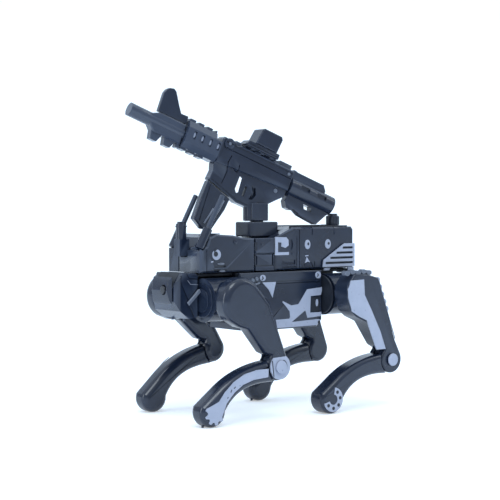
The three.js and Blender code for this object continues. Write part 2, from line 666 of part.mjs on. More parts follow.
// ---------------------------------------------------------------- assembly
const dog = new THREE.Group();
dog.add(
  chassis(),
  torsoPanel("torso_panel_left", 1),
  torsoPanel("torso_panel_right", -1),
  bellyCover(),
  ...headParts(),
  cheekStrut("cheek_strut_left", 1),
  cheekStrut("cheek_strut_right", -1),
  packFront(),
  packMiddle(),
  packRear(),
  rearKnob(),
  ventGrille("vent_grille_left", 1),
  ventGrille("vent_grille_right", -1),
  tailBracket(),
  sensorPeg(),
  antenna("antenna_left", 1),
  antenna("antenna_right", -1),
  turretCollar(),
  turret(),
  ...Object.entries(LEG_POSES).map(([legName, pose]) => leg(legName, pose)),
);

dog.updateMatrixWorld(true);
const bounds = new THREE.Box3().setFromObject(dog, true);
const middle = bounds.getCenter(new THREE.Vector3());
dog.position.set(-middle.x, -middle.y, -bounds.min.z);

export default dog;
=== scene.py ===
import json
import math

import bmesh
import bpy
from mathutils import Matrix, Vector

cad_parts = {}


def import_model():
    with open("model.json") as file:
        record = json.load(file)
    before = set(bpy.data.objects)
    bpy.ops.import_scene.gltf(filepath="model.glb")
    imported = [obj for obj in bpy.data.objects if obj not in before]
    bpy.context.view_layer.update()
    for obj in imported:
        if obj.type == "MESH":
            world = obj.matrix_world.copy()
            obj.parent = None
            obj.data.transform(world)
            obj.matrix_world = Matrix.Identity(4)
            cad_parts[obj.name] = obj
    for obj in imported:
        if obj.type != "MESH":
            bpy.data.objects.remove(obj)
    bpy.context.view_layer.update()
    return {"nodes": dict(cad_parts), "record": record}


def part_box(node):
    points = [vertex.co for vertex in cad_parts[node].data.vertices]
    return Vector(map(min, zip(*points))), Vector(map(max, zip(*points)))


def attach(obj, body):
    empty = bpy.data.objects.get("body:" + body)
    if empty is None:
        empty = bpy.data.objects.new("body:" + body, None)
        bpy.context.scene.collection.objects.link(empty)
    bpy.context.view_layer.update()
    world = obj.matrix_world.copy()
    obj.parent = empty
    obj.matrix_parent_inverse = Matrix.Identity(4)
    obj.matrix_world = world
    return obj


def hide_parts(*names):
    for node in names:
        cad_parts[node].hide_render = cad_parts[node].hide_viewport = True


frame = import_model()

MM = 0.001
DEG = math.pi / 180

# ---------------------------------------------------------------- dimensions shared with the CAD
HIP_X = 23.7
HIP_Z = 36.3
ROLL_Y = 7.9
LEG_INNER = 14.8
LEG_WIDTH = 6.6
LEG_OUTER = LEG_INNER + LEG_WIDTH
LEG_MIDDLE = LEG_INNER + LEG_WIDTH / 2
KNEE = (-12.5, -20.7)
KNEE_R = 4.3
FOOT = (24.8, -10.7)
FOOT_R = 4.5
PIN_BORE_R = 1.6
HIP_BORE_R = 2.3
TONGUE_HALF = 1.0
GAP = 0.3
TORSO_HALF_WIDTH = 9.5
TORSO_TOP = 44.1
PACK_HALF_WIDTH = 8.5
REAR_TOP = 57.8
HEAD_HALF_WIDTH = 6.7
PEG_X = 31.6
KNOB = (-27.6, 1.8)
TURRET_X = 2.5
TURRET_YAW = -9 * DEG
LAUNCHER_PITCH = 22.4 * DEG
MUZZLE = (43.8, 93.6)
RECEIVER_HALF = 1.5
RAIL_HALF = 2.2
HANDGUARD_HALF = 2.7
STOCK_HALF = 3.0

# Each leg's side, its end of the dog, and how far its thigh swings at rest.
LEG_POSES = {
    "front_left": {"side": 1, "end": 1, "swing": 2.6 * DEG},
    "front_right": {"side": -1, "end": 1, "swing": 11.3 * DEG},
    "rear_left": {"side": 1, "end": -1, "swing": -1.3 * DEG},
    "rear_right": {"side": -1, "end": -1, "swing": 0.5 * DEG},
}

# ---------------------------------------------------------------- dimensions of the looks only
THIGH_ROUNDING = {"front_left": 2.1, "front_right": 2.4, "rear_left": 0.6, "rear_right": 1.4}
SHANK_ROUNDING = {"front_left": 2.1, "front_right": 2.2, "rear_left": 1.5, "rear_right": 2.2}
KNEE_SKIN = 0.2
PAINT = 0.08
PAINT_ROOT = 0.3
SHARP_ANGLE = 25 * DEG
SHADING_ANGLE = 38 * DEG

# How fine each pattern of the materials is, in cells per metre, and how deep the bumps are, in metres.
PLASTIC_MOTTLE = 160
PLASTIC_SMEAR = 300
PLASTIC_GRAIN = 900
PAINT_MOTTLE = 220
PAINT_SPECKS = 1500
PAINT_GRAIN = 3200
BUMP_DEPTH = 0.00004

# The view: where the camera stands in the dog's own frame, and the direction from the dog to it.
CAMERA = Vector((283.97, 356.86, 66.49))
VIEW = Vector((0.61529, 0.78753, 0.03490))
FOCAL_LENGTH = 104.04
SENSOR_WIDTH = 36

# Each light: where it stands, its two sizes and its power. They all point at the middle of the dog.
LIGHTS = {
    "key": ((0.25, 0.35, 0.80), (0.40, 0.40), 3.0),
    "side": ((0.80, -0.10, 0.25), (0.12, 0.6), 1.8),
    "rim": ((-0.55, 0.35, 0.45), (0.1, 0.5), 0.6),
}
LIGHT_TARGET = (0, 0, 0.05)
LIGHT_COLOUR = (0.86, 0.94, 1.0)

# The dog's own origin in the row frame, from the box of a torso panel.
panel_low, panel_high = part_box("torso_panel_left")
ORIGIN = Vector((
    (panel_low[0] + panel_high[0]) / 2 / MM,
    panel_high[1] / MM - TORSO_HALF_WIDTH,
    panel_high[2] / MM - TORSO_TOP,
))


# ---------------------------------------------------------------- materials
def node_material(name):
    material = bpy.data.materials.new(name)
    material.use_nodes = True
    tree = material.node_tree
    shader = tree.nodes["Principled BSDF"]
    coordinates = tree.nodes.new("ShaderNodeTexCoord")
    return material, tree, shader, coordinates.outputs["Object"]


def noise(tree, coordinates, scale, detail=4, roughness=0.55):
    node = tree.nodes.new("ShaderNodeTexNoise")
    node.inputs["Scale"].default_value = scale
    node.inputs["Detail"].default_value = detail
    node.inputs["Roughness"].default_value = roughness
    tree.links.new(coordinates, node.inputs["Vector"])
    return node.outputs["Fac"]


def ramp(tree, value, low, high, from_low=0.0, from_high=1.0):
    node = tree.nodes.new("ShaderNodeMapRange")
    node.inputs["From Min"].default_value = from_low
    node.inputs["From Max"].default_value = from_high
    node.inputs["To Min"].default_value = low
    node.inputs["To Max"].default_value = high
    tree.links.new(value, node.inputs["Value"])
    return node.outputs["Result"]


def mix_colours(tree, factor, first, second):
    node = tree.nodes.new("ShaderNodeMix")
    node.data_type = "RGBA"
    tree.links.new(factor, node.inputs["Factor"])
    for socket, colour in ((node.inputs["A"], first), (node.inputs["B"], second)):
        if isinstance(colour, tuple):
            socket.default_value = (*colour, 1)
        else:
            tree.links.new(colour, socket)
    return node.outputs["Result"]


def bump(tree, shader, heights, strength, distance):
    node = tree.nodes.new("ShaderNodeBump")
    node.inputs["Strength"].default_value = strength
    node.inputs["Distance"].default_value = distance
    tree.links.new(heights, node.inputs["Height"])
    tree.links.new(node.outputs["Normal"], shader.inputs["Normal"])


def painted_edge_highlight(tree, amount):
    """Where the painted highlight goes: more on sharp convex edges, from its own pointiness."""
    geometry = tree.nodes.new("ShaderNodeNewGeometry")
    return ramp(tree, geometry.outputs["Pointiness"], 0.0, amount, 0.53, 0.62)


def plastic(name, dark, light, roughness_low, roughness_high, edge_highlight_colour):
    """Moulded plastic: two shades, uneven gloss, a fine grain and paler edges as a painted highlight."""
    material, tree, shader, coordinates = node_material(name)
    mottle = noise(tree, coordinates, PLASTIC_MOTTLE, 2, 0.5)
    base = mix_colours(tree, ramp(tree, mottle, 0, 1, 0.3, 0.7), dark, light)
    # The paler colour on sharp edges is a painted highlight.
    base = mix_colours(tree, painted_edge_highlight(tree, 0.6), base, edge_highlight_colour)
    tree.links.new(base, shader.inputs["Base Color"])
    smear = noise(tree, coordinates, PLASTIC_SMEAR, 2, 0.5)
    tree.links.new(ramp(tree, smear, roughness_low, roughness_high, 0.3, 0.7), shader.inputs["Roughness"])
    bump(tree, shader, noise(tree, coordinates, PLASTIC_GRAIN, 2, 0.5), 0.06, BUMP_DEPTH)
    shader.inputs["IOR"].default_value = 1.5
    return material


def painted(name, colour, shade, fleck):
    """A printed coat: two shades with dark flecks where it has rubbed through."""
    material, tree, shader, coordinates = node_material(name)
    mottle = noise(tree, coordinates, PAINT_MOTTLE, 5, 0.6)
    base = mix_colours(tree, ramp(tree, mottle, 0, 1, 0.35, 0.65), colour, shade)
    specks = noise(tree, coordinates, PAINT_SPECKS, 2, 0.5)
    base = mix_colours(tree, ramp(tree, specks, 0, 0.8, 0.69, 0.74), base, fleck)
    tree.links.new(base, shader.inputs["Base Color"])
    tree.links.new(ramp(tree, specks, 0.42, 0.58, 0.3, 0.7), shader.inputs["Roughness"])
    bump(tree, shader, noise(tree, coordinates, PAINT_GRAIN, 3, 0.6), 0.2, BUMP_DEPTH)
    shader.inputs["IOR"].default_value = 1.45
    return material


BLACK = plastic("moulded_black", (0.0072, 0.0125, 0.0275), (0.0095, 0.016, 0.034), 0.17, 0.24,
                (0.05, 0.065, 0.10))
DEEP = plastic("deep_black", (0.003, 0.006, 0.014), (0.004, 0.008, 0.018), 0.5, 0.65, (0.01, 0.014, 0.022))
# A paler black: the lighter tone of some small parts, and a painted highlight on the thin lips, lines and
# ribs drawn in it.
PALE_AND_HIGHLIGHT = plastic("pale_black_and_highlight", (0.07, 0.085, 0.12), (0.10, 0.12, 0.16), 0.22, 0.32, (0.2, 0.22, 0.28))
GREY = painted("grey_print", (0.34, 0.37, 0.47), (0.30, 0.335, 0.43), (0.14, 0.16, 0.22))
LENS = plastic("lens_black", (0.004, 0.005, 0.008), (0.006, 0.008, 0.012), 0.06, 0.12, (0.02, 0.02, 0.03))


# ---------------------------------------------------------------- mesh tools, in millimetres
def bevel_sharp(mesh, width, segments=2, angle=SHARP_ANGLE):
    """Rounds every edge sharper than the angle."""
    if width <= 0:
        return mesh
    mesh.normal_update()
    edges = [e for e in mesh.edges if len(e.link_faces) == 2 and e.calc_face_angle(0) > angle]
    bmesh.ops.bevel(mesh, geom=edges, offset=width, segments=segments, profile=0.6,
                    affect="EDGES", clamp_overlap=True)
    return mesh


def prism(outline, low, high, bevel=0.0, segments=2, plane="xz"):
    """An outline given a thickness. In the xz plane it runs along y, in xy along z, in yz along x."""
    mesh = bmesh.new()
    third = {"xz": 1, "xy": 2, "yz": 0}[plane]

    def point(a, b, c):
        values = [a, b]
        values.insert(third, c)
        return values

    ring = [mesh.verts.new(point(a, b, low)) for a, b in outline]
    top = [mesh.verts.new(point(a, b, high)) for a, b in outline]
    mesh.faces.new(ring)
    mesh.faces.new(top)
    for i in range(len(outline)):
        j = (i + 1) % len(outline)
        mesh.faces.new((ring[i], ring[j], top[j], top[i]))
    bmesh.ops.recalc_face_normals(mesh, faces=mesh.faces)
    return bevel_sharp(mesh, bevel, segments)


def inset(outline, distance):
    """A smooth clockwise or anticlockwise outline moved inwards."""
    count = len(outline)
    turn = sum(outline[i][0] * outline[(i + 1) % count][1] - outline[(i + 1) % count][0] * outline[i][1]
               for i in range(count))
    sign = 1 if turn > 0 else -1
    moved = []
    for i in range(count):
        before = outline[i - 1]
        after = outline[(i + 1) % count]
        along = Vector((after[0] - before[0], after[1] - before[1])).normalized()
        moved.append((outline[i][0] - sign * along.y * distance, outline[i][1] + sign * along.x * distance))
    return moved


def rounded_prism(outline, low, high, rounding, steps=6):
    """A smooth xz outline given a thickness along y, with fully rounded rims built ring by ring."""
    levels = []
    for i in range(steps + 1):
        angle = i / steps * math.pi / 2
        levels.append((rounding * (1 - math.sin(angle)), rounding * (1 - math.cos(angle))))
    rings = [(low + depth, distance) for distance, depth in levels]
    rings += [(high - depth, distance) for distance, depth in reversed(levels)]
    mesh = bmesh.new()
    rows = []
    for y, distance in rings:
        shape = inset(outline, distance) if distance > 1e-6 else outline
        rows.append([mesh.verts.new((x, y, z)) for x, z in shape])
    count = len(outline)
    for lower, upper in zip(rows, rows[1:]):
        for i in range(count):
            j = (i + 1) % count
            mesh.faces.new((lower[i], lower[j], upper[j], upper[i]))
    mesh.faces.new(rows[0])
    mesh.faces.new(rows[-1])
    bmesh.ops.recalc_face_normals(mesh, faces=mesh.faces)
    return mesh


def box(x0, x1, y0, y1, z0, z1, bevel=0.0, segments=2):
    return prism([(x0, z0), (x1, z0), (x1, z1), (x0, z1)], y0, y1, bevel, segments)


def circle(centre, radius, sides=40, start=0.0, stop=2 * math.pi):
    full = abs(stop - start) > 2 * math.pi - 0.01
    count = sides if full else sides + 1
    return [(centre[0] + radius * math.cos(start + (stop - start) * i / sides),
             centre[1] + radius * math.sin(start + (stop - start) * i / sides)) for i in range(count)]


def bar(axis, low, high, radius, centre, bevel=0.0, sides=40, segments=2):
    """A round bar along one axis. The centre is given in the other two, in x, y, z order."""
    plane = {"x": "yz", "y": "xz", "z": "xy"}[axis]
    mesh = prism(circle(centre, radius, sides), low, high, 0, plane=plane)
    return bevel_sharp(mesh, bevel, segments, 50 * DEG)


def bezier(start, first, second, end, steps):
    points = []
    for i in range(1, steps + 1):
        t = i / steps
        weights = ((1 - t) ** 3, 3 * t * (1 - t) ** 2, 3 * t * t * (1 - t), t ** 3)
        controls = (start, first, second, end)
        points.append(tuple(sum(w * p[k] for w, p in zip(weights, controls)) for k in (0, 1)))
    return points


def cad_mesh(node):
    """A copy of a CAD node's mesh in the dog's own frame, with its flat faces whole again."""
    mesh = bmesh.new()
    mesh.from_mesh(frame["nodes"][node].data)
    mesh.transform(Matrix.Translation(-ORIGIN) @ Matrix.Scale(1 / MM, 4))
    bmesh.ops.remove_doubles(mesh, verts=mesh.verts, dist=0.002)
    bmesh.ops.dissolve_limit(mesh, angle_limit=1 * DEG, verts=mesh.verts, edges=mesh.edges)
    return mesh


def scratch_object(mesh):
    data = bpy.data.meshes.new("scratch")
    mesh.to_mesh(data)
    mesh.free()
    made = bpy.data.objects.new("scratch", data)
    bpy.context.scene.collection.objects.link(made)
    return made


def joined(base, adds=(), cuts=()):
    """The base with solids joined to it and then others cut from it."""
    target = scratch_object(base)
    others = []
    for operation, solids in (("UNION", adds), ("DIFFERENCE", cuts)):
        for solid in solids:
            other = scratch_object(solid)
            others.append(other)
            modifier = target.modifiers.new("boolean", "BOOLEAN")
            modifier.operation = operation
            modifier.solver = "MANIFOLD"
            modifier.object = other
    evaluated = target.evaluated_get(bpy.context.evaluated_depsgraph_get())
    mesh = bmesh.new()
    mesh.from_mesh(evaluated.to_mesh())
    evaluated.to_mesh_clear()
    for made in (target, *others):
        data = made.data
        bpy.data.objects.remove(made)
        bpy.data.meshes.remove(data)
    bmesh.ops.remove_doubles(mesh, verts=mesh.verts, dist=0.0005)
    return mesh


def merged(*meshes):
    """Separate closed solids in one mesh."""
    result = bmesh.new()
    for mesh in meshes:
        data = bpy.data.meshes.new("merge")
        mesh.to_mesh(data)
        mesh.free()
        result.from_mesh(data)
        bpy.data.meshes.remove(data)
    return result


def piece(name, mesh, material, body, nodes=(), matrix=None):
    """Makes the object from a mesh in the dog's frame, and hangs it on its body."""
    place = Matrix.Translation(ORIGIN) @ (matrix or Matrix.Identity(4))
    mesh.transform(Matrix.Scale(MM, 4) @ place)
    bmesh.ops.recalc_face_normals(mesh, faces=mesh.faces)
    data = bpy.data.meshes.new(name)
    mesh.to_mesh(data)
    mesh.free()
    data.shade_smooth()
    data.set_sharp_from_angle(angle=SHADING_ANGLE)
    data.materials.append(material)
    made = bpy.data.objects.new(name, data)
    bpy.context.scene.collection.objects.link(made)
    weighted = made.modifiers.new("weighted_normals", "WEIGHTED_NORMAL")
    weighted.keep_sharp = True
    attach(made, body)
    if nodes:
        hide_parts(*nodes)


node_body = {n: b for b, members in frame["record"]["behaviour"]["bodies"].items() for n in members}


def softened(node, bevel, material, segments=2, adds=(), cuts=()):
    """A CAD node's own shape with rounded edges, and details joined and cut."""
    mesh = bevel_sharp(cad_mesh(node), bevel, segments)
    if adds or cuts:
        mesh = joined(mesh, adds, cuts)
    piece(node + "_shell", mesh, material, node_body[node], (node,))


def stroke(path, width):
    """A polyline given a width, as one outline."""
    left, right = [], []
    for i, here in enumerate(path):
        before = path[max(i - 1, 0)]
        after = path[min(i + 1, len(path) - 1)]
        incoming = Vector((here[0] - before[0], here[1] - before[1]))
        outgoing = Vector((after[0] - here[0], after[1] - here[1]))
        incoming = (incoming if incoming.length else outgoing).normalized()
        outgoing = (outgoing if outgoing.length else incoming).normalized()
        along = (incoming + outgoing).normalized()
        reach = width / 2 / max(0.5, along.dot(outgoing))
        left.append((here[0] - along.y * reach, here[1] + along.x * reach))
        right.append((here[0] + along.y * reach, here[1] - along.x * reach))
    return left + right[::-1]


def on_side(outline, side, surface, out, into=0.25, bevel=0.0):
    """An outline on the left (+1) or right (-1) face at a distance from the middle plane."""
    ends = sorted((side * (surface - into), side * (surface + out)))
    return prism(outline, ends[0], ends[1], bevel, 1)


def stud(side, surface, into, out, radius, centre, bevel, sides):
    """A round boss on the left (+1) or right (-1) face at a distance from the middle plane."""
    low, high = sorted((side * (surface - into), side * (surface + out)))
    return bar("y", low, high, radius, centre, bevel, sides)


def ellipse(centre, half_x, half_z, sides=28):
    return [(centre[0] + half_x * math.cos(2 * math.pi * i / sides),
             centre[1] + half_z * math.sin(2 * math.pi * i / sides)) for i in range(sides)]


def placed(mesh, matrix):
    mesh.transform(matrix)
    return mesh


SIDES = ((1, "left"), (-1, "right"))


# ---------------------------------------------------------------- torso
# The angular painted patch near the rear of a torso panel, and the dark window in it.
CAMO = [
    (-16.4, 38.7), (-10.2, 38.2), (-8.5, 36.0), (-6.65, 33.7), (-3.75, 33.4), (-0.4, 34.9),
    (-0.2, 34.6), (-1.5, 33.3), (-3.1, 31.6), (-3.3, 29.9), (-3.0, 29.3), (2.4, 29.2),
    (1.9, 26.6), (-14.2, 26.7), (-16.1, 28.3), (-14.8, 28.6), (-3.9, 28.2), (-9.5, 31.6),
    (-10.4, 29.2), (-16.2, 29.5), (-16.2, 30.8), (-11.5, 30.8), (-11.75, 36.0), (-15.9, 36.2),
    (-16.4, 37.5),
]
SCREEN = [(-11.9, 30.9), (-15.9, 30.9), (-15.9, 36.0), (-11.9, 35.8)]


def torso_panel(side, name):
    """A side panel with its seams, printed patches, round heads and a row of bolts near the front hip."""
    surface = TORSO_HALF_WIDTH
    grooves = [
        stroke([(16, 40.6), (-16, 40.4)], 0.25),
        stroke([(-0.6, 33.8), (4.0, 29.6), (4.0, 26.4)], 0.3),
        stroke([(4.2, 29.5), (13.0, 29.5)], 0.25),
        stroke([(-4.6, 31.4), (-9.2, 34.6)], 0.25),
    ]
    cuts = [on_side(g, side, surface, 0.5, 0.3) for g in grooves]
    cuts.append(on_side(SCREEN, side, surface, 0.5, 0.25))
    softened("torso_panel_" + name, 0.25, BLACK, 2, (), cuts)
    paint = [
        on_side(CAMO, side, surface, 0.07),
        on_side([(7.8, 41.0), (2.4, 41.0), (3.8, 36.1), (5.2, 38.6)], side, surface, 0.07),
        on_side(ellipse((7.6, 42.4), 1.15, 0.95), side, surface, 0.16, bevel=0.08),
        on_side(ellipse((-14.8, 42.6), 1.2, 1.1), side, surface, 0.16, bevel=0.08),
        on_side(ellipse((-14.5, 33.8), 0.55, 1.15), side, surface - 0.25, 0.1),
    ]
    piece("torso_paint_" + name, merged(*paint), GREY, "trunk")
    marks = [
        on_side(stroke([(7.9, 42.9), (7.5, 42.3), (8.1, 41.8)], 0.35), side, surface + 0.16, 0.05),
        on_side(stroke([(-14.4, 43.1), (-14.8, 42.6), (-14.3, 42.1)], 0.35), side, surface + 0.16, 0.05),
        on_side(inset(SCREEN, 0.25), side, surface - 0.25, 0.04),
        on_side(ellipse((-15.2, 27.6), 0.55, 0.55, 12), side, surface + 0.07, 0.04),
    ]
    piece("torso_marks_" + name, merged(*marks), DEEP, "trunk")
    bolts = [stud(side, surface, 0.3, 0.55, 0.62, centre, 0.18, 14)
             for centre in ((10.2, 42.2), (11.7, 41.8), (13.2, 41.6), (14.9, 42.0))]
    ledge = stroke([(9.0, 40.9), (11.0, 40.5), (15.4, 40.4)], 0.5)
    bolts.append(on_side(ledge, side, surface, 0.5, bevel=0.12))
    piece("torso_bolts_" + name, merged(*bolts), PALE_AND_HIGHLIGHT, "trunk")


def belly():
    softened("belly_cover", 0.3, BLACK)
    softened("chassis", 0.2, DEEP)


# ---------------------------------------------------------------- pack
def pack_front():
    y = PACK_HALF_WIDTH
    cuts = [box(24.0, 31, -2.95, -2.45, 43, 51.9)]
    adds = []
    for side, _ in SIDES:
        for height in (46.3, 45.0):
            cuts.append(on_side(stroke([(20.9, height), (25.4, height)], 0.5), side, y, 0.5, 0.6))
        cuts.append(on_side(stroke([(28.2, 44), (28.2, 51.6)], 0.22), side, y, 0.5, 0.25))
        adds.append(on_side(stroke([(20.6, 45.7), (25.6, 45.7)], 0.45), side, y, 0.3, bevel=0.12))
        adds.append(stud(side, y, 0.4, 0.3, 0.7, (17.4, 53.6), 0.15, 18))
    cuts.append(prism([(28.4, 52.8), (31, 52.8), (31, 51.2), (30.0, 51.2)], -1.8, 8.0))
    softened("pack_front", 0.6, BLACK, 3, adds, cuts)
    badges, centres, lips = [], [], []
    for side, _ in SIDES:
        badges.append(on_side(circle((24.6, 49.9), 1.6, 28), side, y, 0.1))
        badges.append(on_side(stroke([(26.6, 47.7), (25.8, 47.9)], 0.35), side, y, 0.08))
        # The paler lips under the slots are painted highlights.
        lips.append(on_side(ellipse((23.0, 47.1), 1.3, 0.35), side, y, 0.25, bevel=0.1))
        lips.append(on_side(ellipse((22.4, 44.9), 1.1, 0.3), side, y, 0.2, bevel=0.08))
        centres.append(on_side(circle((24.9, 50.1), 0.8, 20), side, y + 0.1, 0.04))
        centres.append(on_side(stroke([(24.6, 51.6), (25.6, 50.9)], 0.5), side, y + 0.1, 0.04))
    piece("pack_badges", merged(*badges), GREY, "trunk")
    piece("pack_badge_centres", merged(*centres), DEEP, "trunk")
    piece("pack_slot_lips", merged(*lips), PALE_AND_HIGHLIGHT, "trunk")
    glints = [
        box(29.6, 30.62, 2.2, 6.6, 50.6, 51.1, 0.2),
        prism(stroke([(20.6, 56.05), (24.0, 56.05)], 0.3), 1.0, 5.0, 0.1, 1),
    ]
    piece("pack_front_lips", merged(*glints), BLACK, "trunk")


def pack_middle():
    y = PACK_HALF_WIDTH
    cuts = []
    for side, _ in SIDES:
        cuts.append(on_side(stroke([(2.0, 46.1), (9.6, 46.1)], 0.4), side, y, 0.5, 0.4))
        cuts.append(on_side(stroke([(2.9, 46.1), (2.9, 49.8)], 0.5), side, y, 0.5, 0.6))
        for low, high in ((46.4, 49.2), (50.9, 53.4)):
            cuts.append(on_side(stroke([(9.3, low), (9.3, high)], 0.6), side, y, 0.5, 0.6))
    adds = [stud(side, y, 0.4, 0.25, 0.55, (7.0, 52.8), 0.12, 16) for side, _ in SIDES]
    softened("pack_middle", 0.3, BLACK, 2, adds, cuts)


# The painted hook shape on each side of the rear housing.
C_SHAPE = [
    (1.9, 54.9), (-2.6, 54.7), (-3.4, 53.9), (-3.5, 52.2), (-2.2, 51.4), (-0.5, 51.9), (-0.6, 53.1),
    (0.8, 53.2), (0.8, 50.1), (-3.6, 50.1), (-3.6, 49.2), (1.9, 49.2),
]


def chamfer_groove(x, side):
    """A cutter for a line across the chamfer along the top of the rear housing."""
    lean = Matrix.Rotation(side * -45 * DEG, 4, "X")
    return placed(box(-0.16, 0.16, -2.5, 2.5, -0.3, 4), Matrix.Translation((x, side * 7.6, 56.6)) @ lean)


def deck_rail(side):
    """A fine raised line along the top of the rear housing."""
    path = [(-5.6, REAR_TOP + 0.1), (-29.8, REAR_TOP + 0.1)]
    return placed(prism(stroke(path, 0.55), -0.25, 0.25, 0.1, 1), Matrix.Translation((0, side * 6.3, 0)))


def pack_rear():
    y = PACK_HALF_WIDTH
    cuts, adds = [], []
    for side, _ in SIDES:
        cuts += [
            on_side(stroke([(-7.9, 45), (-7.9, 57)], 0.28), side, y, 0.5, 0.3),
            on_side(stroke([(-6.9, 45), (-6.9, 55)], 0.2), side, y, 0.5, 0.2),
            on_side([(-1.0, 46.4), (-6.2, 46.3), (-6.2, 47.6), (-1.0, 48.6)], side, y, 0.5, 0.3),
            on_side(stroke([(-1.0, 45.4), (-6.4, 45.4)], 0.3), side, y, 0.5, 0.3),
            on_side(stroke([(-9.8, 45.1), (-10.2, 46.4), (-11.6, 46.9), (-13.0, 46.4), (-13.5, 45.1)], 0.3),
                    side, y, 0.5, 0.3),
            on_side(ellipse((-4.6, 52.4), 0.65, 1.6), side, y, 0.5, 0.3),
            on_side(stroke([(-14.2, 45), (-14.2, 47)], 0.3), side, y, 0.5, 0.3),
            on_side(stroke([(-17.6, 44.9), (-30.0, 44.9)], 0.5), side, y, 0.5, 0.4),
        ]
        adds.append(stud(side, y, 0.4, 0.2, 0.4, (-5.2, 49.6), 0.1, 14))
    cuts += [chamfer_groove(x, side) for x in (-13.2, -22.4) for side, _ in SIDES]
    softened("pack_rear", 0.4, BLACK, 3, adds, cuts)
    paint, marks, rails = [], [], []
    for side, _ in SIDES:
        paint += [
            on_side(C_SHAPE, side, y, 0.08),
            on_side(ellipse((-11.2, 52.3), 1.15, 1.5), side, y, 0.22, bevel=0.1),
            on_side(ellipse((-19.7, 52.3), 1.2, 1.5), side, y, 0.22, bevel=0.1),
            on_side([(-10.2, 46.5), (-10.9, 48.4), (-12.3, 46.6), (-11.4, 46.9)], side, y, 0.08),
            on_side(stroke([(-10.3, 48.7), (-11.6, 48.8)], 0.3), side, y, 0.08),
            on_side([(-18.0, 43.9), (-18.2, 44.7), (-20.6, 44.7), (-20.1, 43.9)], side, y, 0.3),
            on_side([(-28.3, 43.6), (-28.0, 44.8), (-30.6, 44.8), (-30.6, 43.6)], side, y, 0.3),
        ]
        marks += [
            on_side(ellipse((-11.4, 52.5), 0.4, 0.5, 14), side, y + 0.22, 0.04),
            on_side(ellipse((-19.9, 52.5), 0.45, 0.45, 14), side, y + 0.22, 0.04),
            on_side(stroke([(1.9, 54.75), (-0.9, 54.95), (-5.4, 57.0)], 0.3), side, y, 0.05),
        ]
        rails.append(deck_rail(side))
    piece("pack_paint", merged(*paint), GREY, "trunk")
    piece("pack_marks", merged(*marks), DEEP, "trunk")
    rails.append(prism([(-29.6, 57.6), (-27.6, 57.6), (-27.9, 58.3), (-29.3, 58.3)], -4.4, -2.4, 0.15))
    piece("deck_rails", merged(*rails), DEEP, "trunk")


def vents():
    for side, name in SIDES:
        softened("vent_grille_" + name, 0.12, GREY)
        # A darker sheet behind each grille: painted shade in its slots.
        outline = [(-17.8, 45.4), (-18.0, 46.9), (-26.5, 51.9), (-30.0, 51.9), (-30.0, 45.4)]
        piece("vent_shade_" + name, on_side(outline, side, PACK_HALF_WIDTH, 0.05), DEEP, "trunk")
    softened("tail_bracket", 0.25, PALE_AND_HIGHLIGHT)


def masts():
    for node in ("sensor_peg", "antenna_left", "antenna_right", "rear_knob"):
        softened(node, 0.22, BLACK, 3)
    ring = bar("z", 58.2, 58.6, 1.75, (PEG_X, 0), 0.1)
    knurls = [placed(box(-0.16, 0.16, 1.95, 2.2, 58.3, 61.0, 0.05),
                     Matrix.Translation((KNOB[0], KNOB[1], 0)) @ Matrix.Rotation(i * 24 * DEG, 4, "Z"))
              for i in range(15)]
    piece("peg_ring", ring, BLACK, "trunk")
    piece("knob_knurls", merged(*knurls), BLACK, "trunk")


# ---------------------------------------------------------------- head
def head():
    y = HEAD_HALF_WIDTH
    seam = [(36.2, 45), (36.4, 41.5), (34.2, 37.2), (31.4, 30.5)]
    lip = [(34.0, 42.4), (32.9, 41.2), (30.2, 41.0)]
    cuts = []
    for side, _ in SIDES:
        cuts += [
            on_side(stroke(seam, 0.3), side, y, 0.5, 0.35),
            on_side(stroke([(34.4, 44.6), (33.4, 42.9), (30, 42.6)], 0.25), side, y, 0.5, 0.3),
            on_side(stroke([(32.0, 38.2), (29.5, 40.6)], 0.25), side, y, 0.5, 0.2),
        ]
    softened("head_shell", 0.9, BLACK, 4, (), cuts)
    softened("face_plate", 0.9, BLACK, 4)
    softened("nose_sensor", 0.3, LENS, 3)
    for _, name in SIDES:
        softened("cheek_strut_" + name, 0.25, PALE_AND_HIGHLIGHT, 2)
    lips = [on_side(stroke(lip, 0.22), side, y, 0.06) for side, _ in SIDES]
    piece("head_lips", merged(*lips), PALE_AND_HIGHLIGHT, "trunk")
    nubs = [bar("z", low, 31.2, radius, centre, 0.1, 12)
            for low, radius, centre in ((29.9, 0.45, (32.6, 3.0)), (30.1, 0.4, (33.4, -2.0)))]
    piece("chin_nubs", merged(*nubs), BLACK, "trunk")
    brow = stroke([(38.3, 40.2), (37.1, 42.6), (35.6, 44.6)], 0.2)
    piece("brow_line", prism(brow, -4.9, 4.9), DEEP, "trunk")


# ---------------------------------------------------------------- legs
def shank_outline():
    points = [(0, 2.2)]
    points += bezier((0, 2.2), (8, 2.3), (16.1, 0.6), (23.0, -4.5), 18)
    points += circle(FOOT, FOOT_R, 36, 30 * DEG, -176 * DEG)
    points += bezier(points[-1], (17.2, -6.6), (12.4, -3.9), (3.0, -4.3), 16)
    points.append((0, -4.3))
    return points


def thigh_outline():
    points = circle((0, 0), 7.2, 48, -48 * DEG, 142 * DEG)
    points.append((-10.1, -1.0))
    points += circle(KNEE, KNEE_R, 40, 167 * DEG, 412 * DEG)
    points += [(-7.3, -16.0), (-4.9, -12.8), (-1.6, -8.4), (1.8, -7.3)]
    return points


